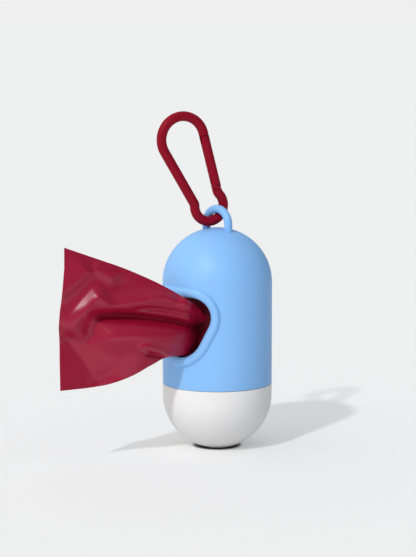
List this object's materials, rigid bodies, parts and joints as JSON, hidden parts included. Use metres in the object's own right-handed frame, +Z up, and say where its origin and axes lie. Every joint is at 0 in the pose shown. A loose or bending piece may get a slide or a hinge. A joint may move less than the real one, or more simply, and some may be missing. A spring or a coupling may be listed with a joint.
{
  "type": "dog waste bag dispenser",
  "caption": "Capsule dispenser for a roll of dog waste bags: domed shell with a lipped bag port and ring, screw-on cup, sprung-gate carabiner and a gathered film strip drawn out of the port.",
  "frame": {"origin": "middle of the flat foot under the cup", "axes": "+Z up along the capsule, -Y out of the bag port, the lanyard ring lies in the XZ plane"},
  "size_m": [0.045, 0.0989, 0.1384],
  "materials": {
    "shell": "soft matt blue",
    "cup": "soft matt white",
    "coated_bar": "fine matt dark red coating",
    "pin_metal": "plain drawn steel",
    "core_paper": "raw brown board",
    "bag_film": "satin dark red film, slightly translucent"
  },
  "bodies": {
    "housing": {"upper_shell": "shell", "film_lead": "bag_film"},
    "core": {"roll_core": "core_paper"},
    "cup": {"lower_cup": "cup"},
    "roll": {"bag_roll": "bag_film"},
    "tail": {"bag_tail": "bag_film"},
    "carabiner": {"carabiner_frame": "coated_bar"},
    "gate": {"carabiner_gate": "coated_bar", "gate_hinge_pin": "pin_metal", "gate_latch_pin": "pin_metal", "gate_spring": "pin_metal"},
    "plunger": {"gate_plunger": "pin_metal"}
  },
  "joints": [
    {"name": "cup_draw", "type": "slide", "parent": "housing", "child": "core", "axis": [0, 0, -1], "range_m": [0, 0.0121]},
    {"name": "cup_twist", "type": "hinge", "parent": "core", "child": "cup", "pos_m": [0, 0, 0.03], "axis": [0, 0, -1], "range_deg": [0, 480]},
    {"name": "roll_spin", "type": "hinge", "parent": "core", "child": "roll", "pos_m": [0, 0, 0.038], "axis": [0, 0, -1], "range_deg": [0, 150]},
    {"name": "bag_pull", "type": "slide", "parent": "housing", "child": "tail", "axis": [-0.3486, -0.9373, 0], "range_m": [0, 0.04]},
    {"name": "carabiner_swing", "type": "hinge", "parent": "housing", "child": "carabiner", "pos_m": [-0.0028, -0.00202, 0.09967], "axis": [-0.9397, 0.342, 0], "range_deg": [-78, 116]},
    {"name": "gate_swing", "type": "hinge", "parent": "carabiner", "child": "gate", "pos_m": [-0.00175, 0.00087, 0.10815], "axis": [0.9397, -0.342, 0], "range_deg": [0, 35], "stiffness_Nm_per_rad": 0.01, "springref_deg": -28.65},
    {"name": "plunger_slide", "type": "slide", "parent": "gate", "child": "plunger", "axis": [-0.0879, -0.2416, 0.9664], "range_m": [0, 0.00022], "deforming": ["gate_spring"]}
  ],
  "couplings": [
    {"joint": "cup_draw", "follows": "cup_twist", "m_per_rad": 0.0014324},
    {"joint": "roll_spin", "follows": "bag_pull", "rad_per_m": 64.516},
    {"joint": "plunger_slide", "follows": "gate_swing", "m_per_rad": 0.000336}
  ]
}
